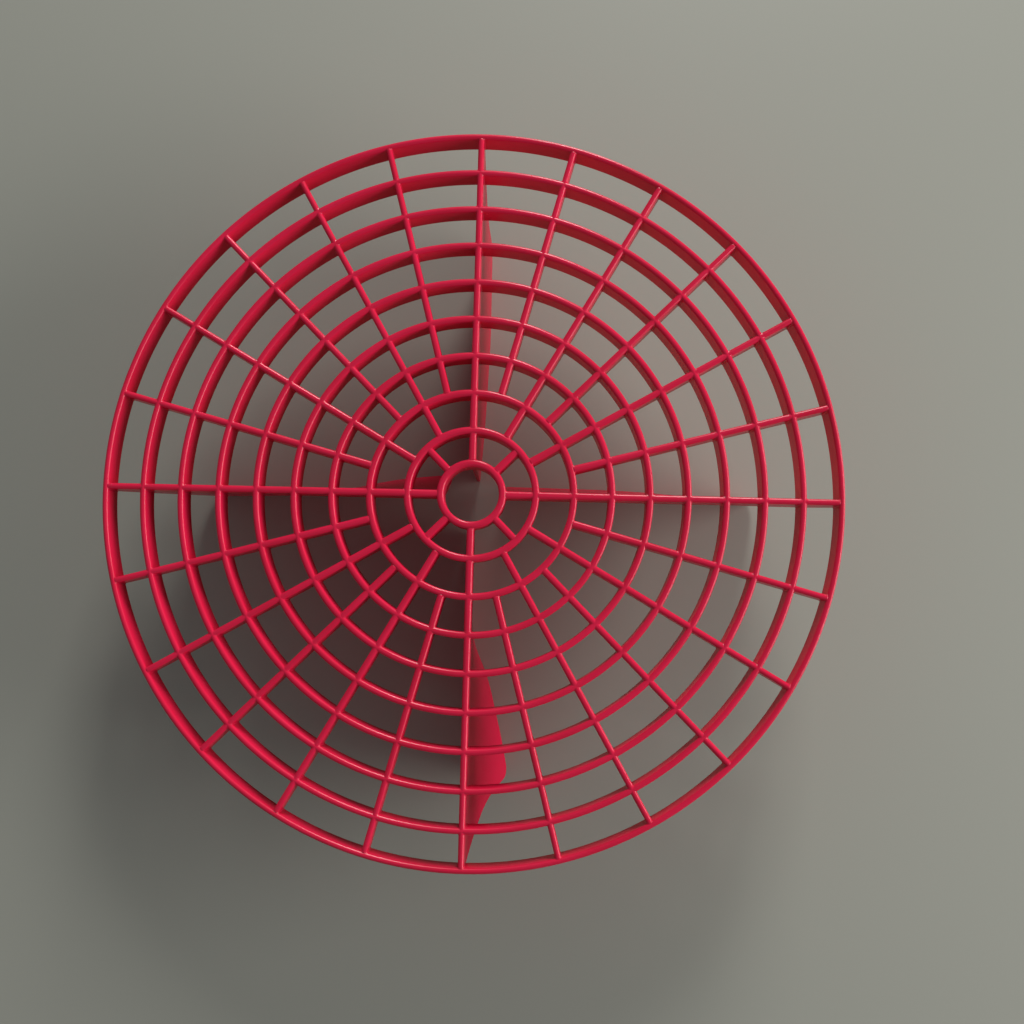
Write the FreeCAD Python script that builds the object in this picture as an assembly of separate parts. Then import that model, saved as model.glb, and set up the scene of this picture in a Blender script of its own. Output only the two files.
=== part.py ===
import FreeCAD, Part
import math
import os

# Bucket grit guard: an open round grille of rings and spokes, standing on four upright vanes.
# It lies on the floor of a round bucket, so that grit sinks through the grille and stays below it.
# Millimetres. The origin is the centre of the standing plane, +Z is up and the grille is on top.

OVERALL_HEIGHT = 50.0
RIM_RADIUS = 117.5
RING_PITCH = 12.0
RING_COUNT = 9
HUB_RADIUS = 11.0
RIB_DEPTH = 9.0
RIB_WIDTH_AT_HUB = 2.3
RIB_WIDTH_AT_RIM = 1.85
TOP_ROUNDING = 0.8

SPOKE_STEP = 15
LONG_SPOKE_STEP = 30
VANE_STEP = 90
HUB_WEB_ANGLES = (45, 135, 225, 315)

VANE_INNER_RADIUS = 9.5
VANE_RIM_RADIUS = 117.0
VANE_WAIST_RADIUS = 99.8
VANE_WAIST_HEIGHT = 21.0
VANE_SHOULDER_HEIGHT = 40.0
VANE_FOOT_CORNER = 4.0
VANE_WAIST_BEND = 9.0
VANE_TOP_THICKNESS = 1.6
VANE_FOOT_THICKNESS = 1.2
VANE_LEAN_POWER = 1.25
VANE_LEVELS = 5

# Each vane is a thin plate that has warped since it was moulded. Its top edge is straight under its
# spoke, and its foot wanders to one side. For each vane these are its direction in degrees, the radius
# that its foot reaches, and the foot's sideways offsets, counter-clockwise seen from above, at the
# radii in FOOT_STATIONS.
FOOT_STATIONS = (9.0, 30.0, 48.0, 60.0, 72.0, 85.0, 98.0, 118.0)
VANES = {
    "vane_right": (0, 97.6, (7.3, 7.1, 6.8, 6.3, 5.4, 4.6, 4.0, 3.6)),
    "vane_back": (90, 95.8, (0.5, -0.8, -1.5, -1.9, -1.9, -1.8, -1.7, -1.6)),
    "vane_left": (180, 95.4, (-11.4, -8.9, -5.2, -3.9, -3.3, -2.9, -2.7, -2.6)),
    "vane_front": (270, 93.8, (-3.0, -2.6, -0.8, 4.0, 7.3, 10.4, 12.7, 14.0)),
}

RIB_BOTTOM = OVERALL_HEIGHT - RIB_DEPTH
LAP_DEPTH = RIB_DEPTH / 2
LAP_HEIGHT = RIB_BOTTOM + LAP_DEPTH
UP = FreeCAD.Vector(0, 0, 1)
CENTRE = FreeCAD.Vector(0, 0, 0)


def rib_width(radius):
    """Width of a ring or spoke at this radius: the ribs grow thicker towards the hub."""
    share = (radius - HUB_RADIUS) / (RIM_RADIUS - HUB_RADIUS)
    return RIB_WIDTH_AT_HUB + share * (RIB_WIDTH_AT_RIM - RIB_WIDTH_AT_HUB)


def ring_radii():
    """Outer radius of each ring, from the rim inwards, with the hub ring last."""
    return [RIM_RADIUS - RING_PITCH * number for number in range(RING_COUNT)] + [HUB_RADIUS]


def ring_section(outer_radius):
    """Face of a ring's cross-section: upright walls and rounded top edges."""
    inner_radius = outer_radius - rib_width(outer_radius)
    shoulder = OVERALL_HEIGHT - TOP_ROUNDING
    bulge = TOP_ROUNDING * math.sqrt(0.5)
    low_inside = FreeCAD.Vector(inner_radius, 0, RIB_BOTTOM)
    low_outside = FreeCAD.Vector(outer_radius, 0, RIB_BOTTOM)
    outer_shoulder = FreeCAD.Vector(outer_radius, 0, shoulder)
    outer_top = FreeCAD.Vector(outer_radius - TOP_ROUNDING, 0, OVERALL_HEIGHT)
    outer_bulge = FreeCAD.Vector(outer_top.x + bulge, 0, shoulder + bulge)
    inner_top = FreeCAD.Vector(inner_radius + TOP_ROUNDING, 0, OVERALL_HEIGHT)
    inner_bulge = FreeCAD.Vector(inner_top.x - bulge, 0, shoulder + bulge)
    inner_shoulder = FreeCAD.Vector(inner_radius, 0, shoulder)
    return Part.Face(Part.Wire([
        Part.LineSegment(low_inside, low_outside).toShape(),
        Part.LineSegment(low_outside, outer_shoulder).toShape(),
        Part.Arc(outer_shoulder, outer_bulge, outer_top).toShape(),
        Part.LineSegment(outer_top, inner_top).toShape(),
        Part.Arc(inner_top, inner_bulge, inner_shoulder).toShape(),
        Part.LineSegment(inner_shoulder, low_inside).toShape(),
    ]))


def wall_tube(outer_radius, bottom):
    """The space of a ring's wall from a height up to the top, with a square section."""
    height = OVERALL_HEIGHT - bottom
    base = FreeCAD.Vector(0, 0, bottom)
    outside = Part.makeCylinder(outer_radius, height, base, UP)
    inside = Part.makeCylinder(outer_radius - rib_width(outer_radius), height, base, UP)
    return outside.cut(inside)


def square_bar(span, height):
    """A straight bar on the rib's underside, tapering outwards, with square edges."""
    inner_radius, outer_radius = span
    inner_half = rib_width(inner_radius) / 2
    outer_half = rib_width(outer_radius) / 2
    corners = [
        FreeCAD.Vector(inner_radius, -inner_half, RIB_BOTTOM),
        FreeCAD.Vector(outer_radius, -outer_half, RIB_BOTTOM),
        FreeCAD.Vector(outer_radius, outer_half, RIB_BOTTOM),
        FreeCAD.Vector(inner_radius, inner_half, RIB_BOTTOM),
    ]
    base = Part.Face(Part.makePolygon(corners + corners[:1]))
    return base.extrude(UP * height)


def rounded_bar(span):
    """A full-height bar whose two long top edges are rounded."""
    bar = square_bar(span, RIB_DEPTH)
    half_length = (span[1] - span[0]) / 2
    long_top_edges = [
        edge for edge in bar.Edges
        if edge.BoundBox.ZMin > LAP_HEIGHT and edge.Length > half_length
    ]
    return bar.makeFillet(TOP_ROUNDING, long_top_edges)


def spoke_span(angle, radii):
    """Indices in radii of the rings where a spoke starts and ends: the rim, and one near the hub."""
    hub = len(radii) - 1
    if angle % VANE_STEP == 0:
        return 0, hub
    if angle % LONG_SPOKE_STEP == 0:
        return 0, hub - 1
    return 0, hub - 2


def bar_span(outer, inner, radii):
    """Radii of a bar's two ends, in the middle of the walls of rings number inner and outer."""
    start = radii[inner] - rib_width(radii[inner]) / 2
    end = radii[outer] - rib_width(radii[outer]) / 2
    return start, end


def one_solid(shape):
    """The single solid in a boolean's result."""
    solids = shape.Solids
    if len(solids) != 1:
        raise ValueError(f"expected one solid, found {len(solids)}")
    return solids[0]


def make_ring(number, radii, runs):
    """A ring, notched from below where a spoke runs through it."""
    ring = Part.Solid(ring_section(radii[number]).revolve(CENTRE, UP, 360))
    crossing = [
        square_bar(bar_span(outer, inner, radii), LAP_DEPTH).rotate(CENTRE, UP, angle)
        for angle, outer, inner in runs if outer < number < inner
    ]
    return one_solid(ring.cut(crossing)) if crossing else ring


def make_spoke(run, radii):
    """A spoke, notched from above where it runs through a ring, with ends that fit the end rings' walls."""
    angle, outer, inner = run
    walls = [wall_tube(radii[end], RIB_BOTTOM) for end in (outer, inner)]
    walls += [wall_tube(radii[number], LAP_HEIGHT) for number in range(outer + 1, inner)]
    bar = rounded_bar(bar_span(outer, inner, radii))
    return one_solid(bar.cut(walls)).rotate(CENTRE, UP, angle)


def make_grille():
    """Rings and spokes, half-lapped: a ring is whole above, and a spoke is whole below."""
    radii = ring_radii()
    hub = len(radii) - 1
    runs = {f"spoke_{angle:03d}": (angle, *spoke_span(angle, radii)) for angle in range(0, 360, SPOKE_STEP)}
    for angle in HUB_WEB_ANGLES:
        runs[f"hub_web_{angle:03d}"] = (angle, hub - 1, hub)
    names = ["rim_ring"] + [f"ring_{number + 1}" for number in range(1, RING_COUNT)] + ["hub_ring"]
    nodes = {name: make_ring(number, radii, runs.values()) for number, name in enumerate(names)}
    nodes.update({name: make_spoke(run, radii) for name, run in runs.items()})
    return nodes


def vane_outline(foot_radius):
    """Wire of a vane seen square on: a blade under the grille that flares out to the rim at its top."""
    foot = FreeCAD.Vector(foot_radius, 0, 0)
    waist = FreeCAD.Vector(VANE_WAIST_RADIUS, 0, VANE_WAIST_HEIGHT)
    shoulder = FreeCAD.Vector(VANE_RIM_RADIUS, 0, VANE_SHOULDER_HEIGHT)
    corners = [
        (FreeCAD.Vector(VANE_INNER_RADIUS, 0, 0), 0),
        (foot, VANE_FOOT_CORNER),
        (waist, VANE_WAIST_BEND),
        (shoulder, 0),
        (FreeCAD.Vector(VANE_RIM_RADIUS, 0, RIB_BOTTOM), 0),
        (FreeCAD.Vector(VANE_INNER_RADIUS, 0, RIB_BOTTOM), 0),
    ]
    edges = []
    last = corners[-1][0]
    for index, (corner, reach) in enumerate(corners):
        following = corners[(index + 1) % len(corners)][0]
        if reach:
            entry = corner + (last - corner).normalize() * reach
            leaving = corner + (following - corner).normalize() * reach
            edges.append(Part.LineSegment(last, entry).toShape())
            edges.append(tangent_arc(entry, corner, leaving))
            last = leaving
        else:
            edges.append(Part.LineSegment(last, corner).toShape())
            last = corner
    return Part.Wire(edges)


def tangent_arc(entry, corner, leaving):
    """Arc from entry to leaving that is tangent to both lines through the corner."""
    reach = (entry - corner).Length
    half_chord = (leaving - entry).Length / 2
    middle = (entry + leaving) / 2
    to_middle = (middle - corner).Length
    radius = reach * half_chord / to_middle
    to_centre = math.hypot(reach, radius)
    top = corner + (middle - corner).normalize() * (to_centre - radius)
    return Part.Arc(entry, top, leaving).toShape()


def vane_strip(offsets, drop_share):
    """Closed wire of a vane's level section. drop_share runs from 0 at the top to 1 at the foot."""
    height = RIB_BOTTOM * (1 - drop_share)
    lean = drop_share ** VANE_LEAN_POWER
    half = (VANE_TOP_THICKNESS + drop_share * (VANE_FOOT_THICKNESS - VANE_TOP_THICKNESS)) / 2
    sides = []
    for side in (-half, half):
        curve = Part.BSplineCurve()
        curve.interpolate([
            FreeCAD.Vector(radius, offset * lean + side, height)
            for radius, offset in zip(FOOT_STATIONS, offsets)
        ])
        sides.append(curve.toShape())
    near, far = sides
    return Part.Wire([
        near,
        Part.LineSegment(near.valueAt(near.LastParameter), far.valueAt(far.LastParameter)).toShape(),
        far,
        Part.LineSegment(far.valueAt(far.FirstParameter), near.valueAt(near.FirstParameter)).toShape(),
    ])


def make_vane(angle, foot_radius, offsets):
    """A thin upright plate, straight along its top and warped at its foot."""
    levels = [level / (VANE_LEVELS - 1) for level in range(VANE_LEVELS)]
    plate = Part.makeLoft([vane_strip(offsets, share) for share in levels], True, False)
    reach = OVERALL_HEIGHT
    outline = Part.Face(vane_outline(foot_radius)).translated(FreeCAD.Vector(0, -reach, 0))
    cutter = outline.extrude(FreeCAD.Vector(0, 2 * reach, 0))
    return one_solid(plate.common(cutter)).rotate(CENTRE, UP, angle)


def main():
    os.makedirs("parts", exist_ok=True)
    nodes = make_grille()
    for name, vane in VANES.items():
        nodes[name] = make_vane(*vane)
    for name, shape in nodes.items():
        shape.exportStep(f"parts/{name}.step")


main()
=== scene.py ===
import math

import bmesh
import bpy
import numpy as np
from mathutils import Matrix, Vector


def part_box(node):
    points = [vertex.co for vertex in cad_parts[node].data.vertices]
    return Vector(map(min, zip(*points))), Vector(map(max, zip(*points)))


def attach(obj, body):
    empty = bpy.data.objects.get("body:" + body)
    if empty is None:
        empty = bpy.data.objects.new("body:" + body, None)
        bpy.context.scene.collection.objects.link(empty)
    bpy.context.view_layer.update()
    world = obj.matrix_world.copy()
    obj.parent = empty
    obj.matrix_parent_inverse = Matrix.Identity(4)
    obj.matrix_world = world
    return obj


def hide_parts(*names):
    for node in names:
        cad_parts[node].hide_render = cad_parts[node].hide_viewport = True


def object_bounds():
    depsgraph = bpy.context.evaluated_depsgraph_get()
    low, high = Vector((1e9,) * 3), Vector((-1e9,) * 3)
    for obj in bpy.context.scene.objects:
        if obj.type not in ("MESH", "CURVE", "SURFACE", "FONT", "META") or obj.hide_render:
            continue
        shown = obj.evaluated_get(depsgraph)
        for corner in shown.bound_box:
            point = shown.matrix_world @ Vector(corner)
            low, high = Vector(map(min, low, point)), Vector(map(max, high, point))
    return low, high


# A bucket grit guard: one red moulding whose members are separate pieces here. Every rib is swept with
# a domed top, drafted walls, rounded lower edges and small fillets where it meets another rib, and each
# vane is a thin plate that has warped. Metres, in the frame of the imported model.

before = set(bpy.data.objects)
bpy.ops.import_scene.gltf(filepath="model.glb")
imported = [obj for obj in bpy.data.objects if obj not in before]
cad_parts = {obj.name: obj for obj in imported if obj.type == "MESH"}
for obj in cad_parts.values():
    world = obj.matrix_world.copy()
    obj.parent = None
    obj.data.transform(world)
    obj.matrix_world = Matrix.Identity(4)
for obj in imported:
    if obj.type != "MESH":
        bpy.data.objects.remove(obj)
cad_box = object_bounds()

MM = 0.001
BODY = "root"
WELD_DISTANCE = 1e-7

# ---------------------------------------------------------------- sizes

RING_NAMES = ["rim_ring"] + [f"ring_{number}" for number in range(2, 10)] + ["hub_ring"]
RING_RADII = [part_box(name)[1].x for name in RING_NAMES]
RIM_RADIUS = RING_RADII[0]
HUB_RADIUS = RING_RADII[-1]
TOP = cad_box[1].z
RIB_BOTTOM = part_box("rim_ring")[0].z

RIB_WIDTH_AT_HUB = 2.3 * MM
RIB_WIDTH_AT_RIM = 1.85 * MM
CROWN_RISE = 0.8 * MM
CROWN_REACH_MOST = 0.95 * MM
CREST_FLAT = 0.06 * MM
DRAFT = 0.06 * MM
LOWER_EDGE_RADIUS = 0.22 * MM
JUNCTION_FILLET = 0.3 * MM
SPOKE_CREST_DROP = 0.03 * MM
HUB_WEB_DROP = 0.2 * MM
SPOKE_FOOT_RISE = 0.04 * MM
SPOKE_END_DROP = 0.45 * MM

RING_SEGMENTS = 480
CROWN_STEPS = 7
LOWER_EDGE_STEPS = 3
FILLET_STATIONS = (0.0, 0.1, 0.3, 0.6, 1.0)
WALL_FLARE_POWER = 3

# Degrees between neighbouring spokes, between those that reach ring_9, and between the vanes.
SPOKE_STEP = 15
LONG_SPOKE_STEP = 30
VANE_STEP = 90

VANE_ANGLES = {"vane_right": 0, "vane_back": 90, "vane_left": 180, "vane_front": 270}
VANE_FOOT_RADII = {
    "vane_right": 97.6 * MM,
    "vane_back": 95.8 * MM,
    "vane_left": 95.4 * MM,
    "vane_front": 93.8 * MM,
}
VANE_INNER_RADIUS = 9.5 * MM
VANE_RIM_RADIUS = 117.0 * MM
VANE_WAIST_RADIUS = 99.8 * MM
VANE_WAIST_HEIGHT = 21.0 * MM
VANE_SHOULDER_HEIGHT = 40.0 * MM
VANE_FOOT_CORNER = 4.0 * MM
VANE_WAIST_BEND = 9.0 * MM
VANE_TOP_THICKNESS = 1.6 * MM
VANE_FOOT_THICKNESS = 1.2 * MM
VANE_EDGE_ROUNDING = 0.35 * MM
VANE_ROOT_FILLET = 0.3 * MM
VANE_ROOT_DEPTH = 1.2 * MM
VANE_LEAN_POWER = 1.25
VANE_COLUMNS = 110
VANE_ROWS = 44
FOOT_CORNER_STEPS = 10
WAIST_BEND_STEPS = 12
EDGE_ROUNDING_POWER = 3
EDGE_STATIONS = (0.0, 0.03, 0.12, 0.3, 0.6, 1.0)

# Sideways offset of each vane's foot, counter-clockwise seen from above, at radii FOOT_STATIONS.
FOOT_STATIONS = np.array([9.0, 30.0, 48.0, 60.0, 72.0, 85.0, 98.0, 118.0]) * MM
FOOT_OFFSETS = {
    "vane_right": np.array([7.3, 7.1, 6.8, 6.3, 5.4, 4.6, 4.0, 3.6]) * MM,
    "vane_back": np.array([0.5, -0.8, -1.5, -1.9, -1.9, -1.8, -1.7, -1.6]) * MM,
    "vane_left": np.array([-11.4, -8.9, -5.2, -3.9, -3.3, -2.9, -2.7, -2.6]) * MM,
    "vane_front": np.array([-3.0, -2.6, -0.8, 4.0, 7.3, 10.4, 12.7, 14.0]) * MM,
}


# ---------------------------------------------------------------- materials

PLASTIC_IOR = 1.38
RED_LOW = (0.60, 0.008, 0.044, 1)
RED_HIGH = (0.68, 0.011, 0.058, 1)
FLOW_RANGE = (0.3, 0.7)
ROUGHNESS_RANGE = (0.20, 0.30)
POLISH_DEPTH = 0.35 * MM
WALL_SPECULAR = 0.05
TOP_SPECULAR = 0.5
PEEL_STRENGTH = 0.15
PEEL_HEIGHT = 0.05 * MM

# Scale and detail of the noise behind the colour's flow marks, the gloss and the orange-peel skin.
FLOW_NOISE = (45.0, 4.0)
GLOSS_NOISE = (260.0, 6.0)
PEEL_NOISE = (900.0, 3.0)

FLOOR_COLOUR = (0.325, 0.331, 0.289, 1)
FLOOR_ROUGHNESS = 0.5
FLOOR_REACH = 3.0


def add_noise(tree, place, scale_and_detail):
    """Noise over the object's own coordinates, the same on every run."""
    noise = tree.nodes.new("ShaderNodeTexNoise")
    noise.inputs["Scale"].default_value, noise.inputs["Detail"].default_value = scale_and_detail
    tree.links.new(place, noise.inputs["Vector"])
    return noise.outputs["Fac"]


def add_range(tree, value, source, target):
    """The value carried from one range to another, and held level outside it."""
    carried = tree.nodes.new("ShaderNodeMapRange")
    carried.inputs["From Min"].default_value, carried.inputs["From Max"].default_value = source
    carried.inputs["To Min"].default_value, carried.inputs["To Max"].default_value = target
    tree.links.new(value, carried.inputs["Value"])
    return carried.outputs["Result"]


def moulded_red():
    """Crimson moulded plastic with faint flow mottling and a fine skin.

    The specular level falls from the rounded tops to the walls. That is a setting for the look, which
    keeps the walls red where they would mirror the grey floor. It isn't a known property of the part.
    """
    material = bpy.data.materials.new("moulded_red")
    material.use_nodes = True
    tree = material.node_tree
    tree.nodes.clear()
    link = tree.links.new
    out = tree.nodes.new("ShaderNodeOutputMaterial")
    skin = tree.nodes.new("ShaderNodeBsdfPrincipled")
    skin.inputs["IOR"].default_value = PLASTIC_IOR
    link(skin.outputs["BSDF"], out.inputs["Surface"])
    place = tree.nodes.new("ShaderNodeTexCoord").outputs["Object"]

    tint = tree.nodes.new("ShaderNodeValToRGB")
    for stop, position, colour in zip(tint.color_ramp.elements, FLOW_RANGE, (RED_LOW, RED_HIGH)):
        stop.position = position
        stop.color = colour
    link(add_noise(tree, place, FLOW_NOISE), tint.inputs["Fac"])
    link(tint.outputs["Color"], skin.inputs["Base Color"])

    gloss = add_noise(tree, place, GLOSS_NOISE)
    link(add_range(tree, gloss, (0.0, 1.0), ROUGHNESS_RANGE), skin.inputs["Roughness"])

    axes = tree.nodes.new("ShaderNodeSeparateXYZ")
    link(place, axes.inputs["Vector"])
    crown = (TOP - CROWN_RISE, TOP - POLISH_DEPTH)
    polish = add_range(tree, axes.outputs["Z"], crown, (WALL_SPECULAR, TOP_SPECULAR))
    link(polish, skin.inputs["Specular IOR Level"])

    bump = tree.nodes.new("ShaderNodeBump")
    bump.inputs["Strength"].default_value = PEEL_STRENGTH
    bump.inputs["Distance"].default_value = PEEL_HEIGHT
    link(add_noise(tree, place, PEEL_NOISE), bump.inputs["Height"])
    link(bump.outputs["Normal"], skin.inputs["Normal"])
    return material


def floor_grey():
    """Plain grey floor with a soft polish."""
    material = bpy.data.materials.new("floor_grey")
    material.use_nodes = True
    skin = material.node_tree.nodes["Principled BSDF"]
    skin.inputs["Base Color"].default_value = FLOOR_COLOUR
    skin.inputs["Roughness"].default_value = FLOOR_ROUGHNESS
    return material


# ---------------------------------------------------------------- meshes

def finish_piece(name, vertices, faces, material):
    """A smooth, outward-facing mesh object that stands for the CAD node of the same name."""
    mesh = bpy.data.meshes.new(f"{name}_mesh")
    mesh.from_pydata(vertices, [], faces)
    work = bmesh.new()
    work.from_mesh(mesh)
    bmesh.ops.remove_doubles(work, verts=work.verts, dist=WELD_DISTANCE)
    bmesh.ops.recalc_face_normals(work, faces=work.faces)
    work.to_mesh(mesh)
    work.free()
    mesh.polygons.foreach_set("use_smooth", [True] * len(mesh.polygons))
    mesh.materials.append(material)
    piece = bpy.data.objects.new(f"{name}_moulded", mesh)
    bpy.context.scene.collection.objects.link(piece)
    weighted = piece.modifiers.new("flat_faces_first", "WEIGHTED_NORMAL")
    weighted.keep_sharp = True
    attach(piece, BODY)
    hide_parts(name)
    return piece


def sweep_faces(sections, points, closed):
    """Quads between consecutive sections of points each, and end caps on an open sweep."""
    faces = []
    last = sections if closed else sections - 1
    for section in range(last):
        here = section * points
        there = (section + 1) % sections * points
        for point in range(points):
            following = (point + 1) % points
            faces.append((here + point, here + following, there + following, there + point))
    if not closed:
        faces.append(tuple(range(points)))
        faces.append(tuple(range((sections - 1) * points, sections * points)))
    return faces


def rib_width(radius):
    """Ribs grow thicker towards the hub."""
    share = (radius - HUB_RADIUS) / (RIM_RADIUS - HUB_RADIUS)
    return RIB_WIDTH_AT_HUB + share * (RIB_WIDTH_AT_RIM - RIB_WIDTH_AT_HUB)


def rib_profile(width, widening, foot, crest):
    """Cross-section of a rib as (across, up) points: rounded foot, drafted walls and a domed top."""
    half = width / 2
    reach = min(half - CREST_FLAT / 2, CROWN_REACH_MOST)
    shoulder = crest - CROWN_RISE
    right = []
    for step in range(LOWER_EDGE_STEPS + 1):
        angle = math.pi / 2 * step / LOWER_EDGE_STEPS
        across = half + widening - DRAFT - LOWER_EDGE_RADIUS * (1 - math.sin(angle))
        right.append((across, foot + LOWER_EDGE_RADIUS * (1 - math.cos(angle))))
    for step in range(CROWN_STEPS + 1):
        angle = math.pi / 2 * step / CROWN_STEPS
        across = half + widening * math.cos(angle) ** WALL_FLARE_POWER - reach * (1 - math.cos(angle))
        right.append((across, shoulder + CROWN_RISE * math.sin(angle)))
    left = [(-across, up) for across, up in reversed(right)]
    return right + left


def make_ring(name, outer_radius, material):
    """One concentric ring, turned from the rib's cross-section."""
    width = rib_width(outer_radius)
    middle = outer_radius - width / 2
    profile = rib_profile(width, 0.0, RIB_BOTTOM, TOP)
    vertices = []
    for segment in range(RING_SEGMENTS):
        angle = 2 * math.pi * segment / RING_SEGMENTS
        for across, up in profile:
            radius = middle + across
            vertices.append((radius * math.cos(angle), radius * math.sin(angle), up))
    return finish_piece(name, vertices, sweep_faces(RING_SEGMENTS, len(profile), True), material)


def fillet_widening(distance):
    """How far a rib's wall stands out, this far from the rib it joins."""
    if distance >= JUNCTION_FILLET:
        return 0.0
    inside = JUNCTION_FILLET - distance
    return JUNCTION_FILLET - math.sqrt(JUNCTION_FILLET ** 2 - inside ** 2)


def spoke_stations(inner, outer):
    """(radius, widening, crest drop) along a spoke from ring number inner out to ring number outer."""
    hub = len(RING_RADII) - 1
    stations = []
    for number in range(inner, outer - 1, -1):
        wall_out = RING_RADII[number]
        wall_in = wall_out - rib_width(wall_out)
        middle = (wall_in + wall_out) / 2
        inside_drop = HUB_WEB_DROP if number == hub - 1 and inner == hub else SPOKE_CREST_DROP
        outside_drop = HUB_WEB_DROP if number == hub else SPOKE_CREST_DROP
        if number < inner:
            for share in reversed(FILLET_STATIONS):
                distance = share * JUNCTION_FILLET
                stations.append((wall_in - distance, fillet_widening(distance), inside_drop))
        else:
            stations.append((middle, fillet_widening(0.0), SPOKE_END_DROP))
        if number > outer:
            for share in FILLET_STATIONS:
                distance = share * JUNCTION_FILLET
                stations.append((wall_out + distance, fillet_widening(distance), outside_drop))
        else:
            stations.append((middle, fillet_widening(0.0), SPOKE_END_DROP))
    return stations


def make_spoke(name, angle_deg, inner, outer, material):
    """A straight rib between two rings, with fillets at every ring it meets.

    Its underside sits a hair above the rings', so that the two faces never share a plane where they cross.
    """
    foot = RIB_BOTTOM + SPOKE_FOOT_RISE
    turn = Matrix.Rotation(math.radians(angle_deg), 3, "Z")
    stations = spoke_stations(inner, outer)
    vertices = []
    for radius, widening, drop in stations:
        profile = rib_profile(rib_width(radius), widening, foot, TOP - drop)
        vertices += [turn @ Vector((radius, across, up)) for across, up in profile]
    return finish_piece(name, vertices, sweep_faces(len(stations), len(profile), False), material)


# ---------------------------------------------------------------- vanes

def smooth_through(stations, values, at):
    """Cubic curve through the given values, read at the points at."""
    slopes = np.gradient(values, stations)
    index = np.clip(np.searchsorted(stations, at) - 1, 0, len(stations) - 2)
    step = stations[index + 1] - stations[index]
    t = (at - stations[index]) / step
    return (
        (2 * t ** 3 - 3 * t ** 2 + 1) * values[index]
        + (t ** 3 - 2 * t ** 2 + t) * step * slopes[index]
        + (3 * t ** 2 - 2 * t ** 3) * values[index + 1]
        + (t ** 3 - t ** 2) * step * slopes[index + 1]
    )


def corner_arc(before, corner, after, reach, steps):
    """Points of the arc that rounds a corner, touching both lines reach away from it."""
    start = corner + (before - corner).normalized() * reach
    end = corner + (after - corner).normalized() * reach
    middle = (start + end) / 2
    to_middle = (middle - corner).length
    radius = reach * (end - start).length / 2 / to_middle
    centre = corner + (middle - corner) * (math.hypot(reach, radius) / to_middle)
    first = start - centre
    sweep = first.angle_signed(end - centre)
    return [centre + Matrix.Rotation(-sweep * step / steps, 2) @ first for step in range(steps + 1)]


def vane_edge(foot_radius):
    """Outer edge of a vane as (radius, height) points from its foot up into the rib."""
    foot = Vector((foot_radius, 0.0))
    waist = Vector((VANE_WAIST_RADIUS, VANE_WAIST_HEIGHT))
    shoulder = Vector((VANE_RIM_RADIUS, VANE_SHOULDER_HEIGHT))
    inner_foot = Vector((VANE_INNER_RADIUS, 0.0))
    edge = corner_arc(inner_foot, foot, waist, VANE_FOOT_CORNER, FOOT_CORNER_STEPS)
    edge += corner_arc(foot, waist, shoulder, VANE_WAIST_BEND, WAIST_BEND_STEPS)
    edge += [shoulder, Vector((VANE_RIM_RADIUS, TOP))]
    return np.array(edge)


def edge_ladder(length, count, round_start, round_end):
    """Distances along a length, with extra ones close to a rounded end."""
    near = [share * VANE_EDGE_ROUNDING for share in EDGE_STATIONS]
    start = near if round_start else [0.0]
    end = [length - distance for distance in reversed(near)] if round_end else [length]
    middle = np.linspace(start[-1], end[0], count + 1)[1:-1]
    return np.array(start + list(middle) + end)


def rounded_share(distance):
    """Share of the full thickness this far from a free edge: square-cut with rounded corners."""
    inside = np.clip(1 - distance / VANE_EDGE_ROUNDING, 0, 1)
    return (1 - inside ** EDGE_ROUNDING_POWER) ** (1 / EDGE_ROUNDING_POWER)


def make_vane(name, material):
    """A thin plate, straight along its top and warped at its foot, with rounded free edges."""
    edge = vane_edge(VANE_FOOT_RADII[name])
    top = RIB_BOTTOM + VANE_ROOT_DEPTH
    heights = edge_ladder(top, VANE_ROWS, True, False)
    offsets = FOOT_OFFSETS[name]
    turn = np.array(Matrix.Rotation(math.radians(VANE_ANGLES[name]), 3, "Z"))
    rows = []
    for height in heights:
        outer = float(np.interp(height, edge[:, 1], edge[:, 0]))
        along = edge_ladder(outer - VANE_INNER_RADIUS, VANE_COLUMNS, True, True)
        radius = VANE_INNER_RADIUS + along
        drop = max(RIB_BOTTOM - height, 0.0)
        drop_share = drop / RIB_BOTTOM
        lean = smooth_through(FOOT_STATIONS, offsets, radius) * drop_share ** VANE_LEAN_POWER
        half = (VANE_TOP_THICKNESS + drop_share * (VANE_FOOT_THICKNESS - VANE_TOP_THICKNESS)) / 2
        share = rounded_share(along) * rounded_share(outer - radius) * rounded_share(height)
        room = np.array([rib_width(r) for r in radius]) / 2 - DRAFT - half
        inside = max(VANE_ROOT_FILLET - drop, 0.0)
        root = VANE_ROOT_FILLET - math.sqrt(VANE_ROOT_FILLET ** 2 - inside ** 2)
        thick = share * (half + np.clip(room, 0, None) * root / VANE_ROOT_FILLET)
        rows.append((radius, lean, thick, height))
    columns = len(rows[0][0])
    vertices = []
    for side in (-1, 1):
        for radius, lean, thick, height in rows:
            points = np.stack([radius, lean + side * thick, np.full(columns, height)], axis=1)
            vertices += [tuple(point) for point in points @ turn.T]
    faces = plate_faces(len(rows), columns)
    return finish_piece(name, vertices, faces, material)


def plate_faces(rows, columns):
    """Quads of a plate's two sides and of its top. The free edges close by having no thickness."""
    faces = []
    sheet = rows * columns
    for row in range(rows - 1):
        for column in range(columns - 1):
            near = row * columns + column
            far = near + columns
            faces.append((near, near + 1, far + 1, far))
            faces.append((sheet + near, sheet + far, sheet + far + 1, sheet + near + 1))
    last = (rows - 1) * columns
    for column in range(columns - 1):
        near = last + column
        faces.append((near, near + 1, sheet + near + 1, sheet + near))
    return faces


# ---------------------------------------------------------------- the object

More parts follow.
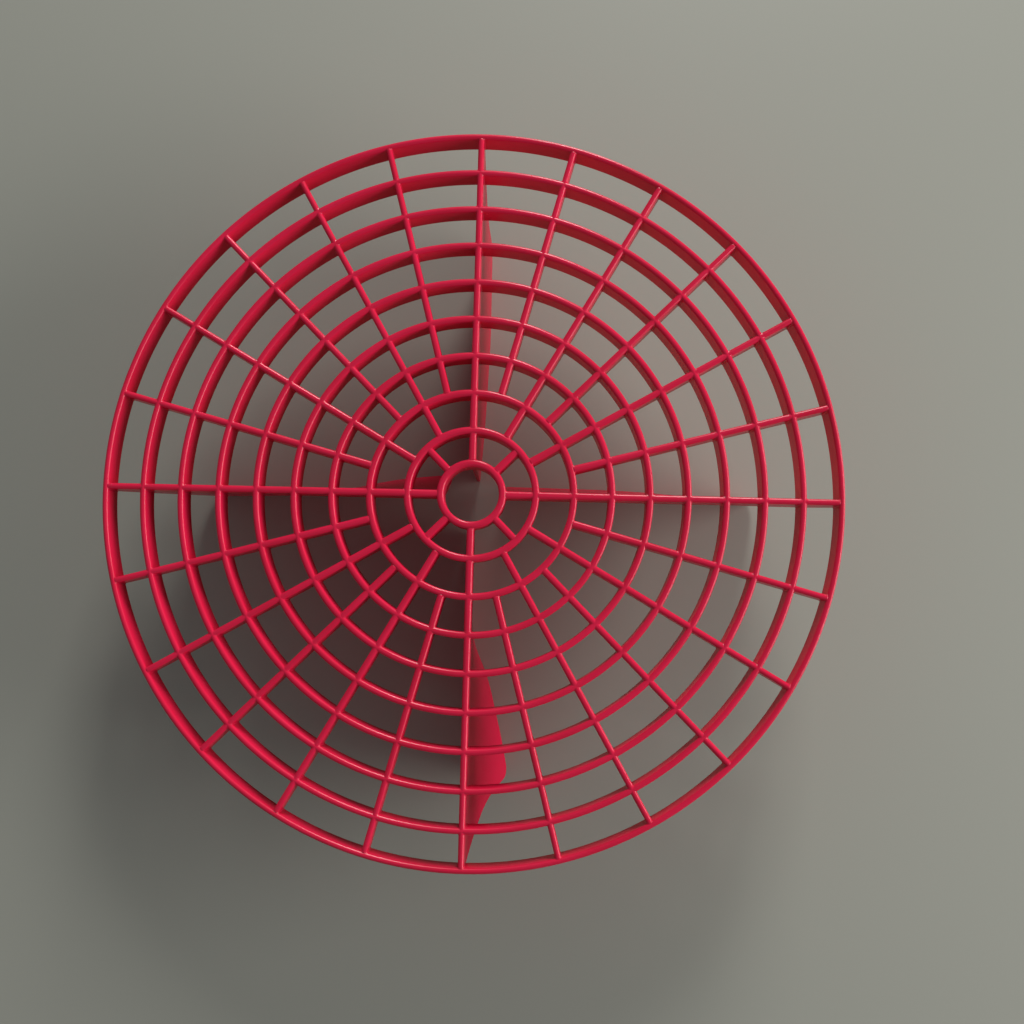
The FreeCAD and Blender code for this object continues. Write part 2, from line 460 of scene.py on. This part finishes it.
def make_object():
    """Every member of the moulding."""
    red = moulded_red()
    for name, radius in zip(RING_NAMES, RING_RADII):
        make_ring(name, radius, red)
    hub = len(RING_NAMES) - 1
    for angle in range(0, 360, SPOKE_STEP):
        if angle % VANE_STEP == 0:
            inner = hub
        elif angle % LONG_SPOKE_STEP == 0:
            inner = hub - 1
        else:
            inner = hub - 2
        make_spoke(f"spoke_{angle:03d}", angle, inner, 0, red)
    for angle in range(VANE_STEP // 2, 360, VANE_STEP):
        make_spoke(f"hub_web_{angle:03d}", angle, hub, hub - 1, red)
    for name in VANE_ANGLES:
        make_vane(name, red)


# ---------------------------------------------------------------- the scene

CAMERA_LENS = 40.487
CAMERA_PLACE = (21.0 * MM, -36.9 * MM, TOP + 361.2 * MM)
CAMERA_TURN_DEG = 1.35
CAMERA_PITCH_DEG = 4.93
CAMERA_ROLL_DEG = 1.28
DAYLIGHT = (1.0, 0.99, 0.96)
ROOM_COLOUR = (0.95, 0.97, 1.0, 1)
ROOM_STRENGTH = 0.22


def make_floor():
    """A plain floor under the vanes' feet."""
    mesh = bpy.data.meshes.new("floor_mesh")
    quadrants = ((-1, -1), (1, -1), (1, 1), (-1, 1))
    corners = [(x * FLOOR_REACH, y * FLOOR_REACH, 0) for x, y in quadrants]
    mesh.from_pydata(corners, [], [(0, 1, 2, 3)])
    mesh.materials.append(floor_grey())
    floor = bpy.data.objects.new("floor", mesh)
    bpy.context.scene.collection.objects.link(floor)


def make_camera():
    """Almost straight above, a little right of the middle and in front of it."""
    camera = bpy.data.cameras.new("camera")
    camera.sensor_width = 36.0
    camera.lens = CAMERA_LENS
    camera.clip_start = 0.01
    holder = bpy.data.objects.new("camera", camera)
    bpy.context.scene.collection.objects.link(holder)
    turn = Matrix.Rotation(math.radians(CAMERA_TURN_DEG), 4, "Z")
    place = turn @ Vector(CAMERA_PLACE)
    pitch = Matrix.Rotation(math.radians(CAMERA_PITCH_DEG), 4, "X")
    roll = Matrix.Rotation(math.radians(CAMERA_ROLL_DEG), 4, "Y")
    holder.matrix_world = Matrix.Translation(place) @ turn @ pitch @ roll
    bpy.context.scene.camera = holder


def window_light(name, azimuth_deg, height_deg, distance, width, height, power):
    """A soft rectangular light, placed by its direction from the object and facing it."""
    lamp = bpy.data.lights.new(name, "AREA")
    lamp.shape = "RECTANGLE"
    lamp.size = width
    lamp.size_y = height
    lamp.energy = power
    lamp.color = DAYLIGHT
    azimuth = math.radians(azimuth_deg)
    rise = math.radians(height_deg)
    towards = Vector((math.cos(azimuth) * math.cos(rise), math.sin(azimuth) * math.cos(rise), math.sin(rise)))
    holder = bpy.data.objects.new(name, lamp)
    holder.location = towards * distance
    holder.rotation_euler = towards.to_track_quat("Z", "Y").to_euler()
    bpy.context.scene.collection.objects.link(holder)


def make_lights():
    """Daylight from behind and from the right, and a faint fill from the room."""
    window_light(
        "back_window", azimuth_deg=79.5, height_deg=23, distance=1.6, width=0.36, height=0.75, power=19
    )
    window_light(
        "right_window", azimuth_deg=-2, height_deg=21, distance=1.5, width=1.2, height=0.75, power=19.5
    )
    world = bpy.data.worlds.new("room")
    world.use_nodes = True
    world.node_tree.nodes["Background"].inputs["Color"].default_value = ROOM_COLOUR
    world.node_tree.nodes["Background"].inputs["Strength"].default_value = ROOM_STRENGTH
    bpy.context.scene.world = world


def main():
    """Builds the object and its scene."""
    make_object()
    make_floor()
    make_camera()
    make_lights()
    bpy.context.scene.view_settings.view_transform = "Standard"


main()
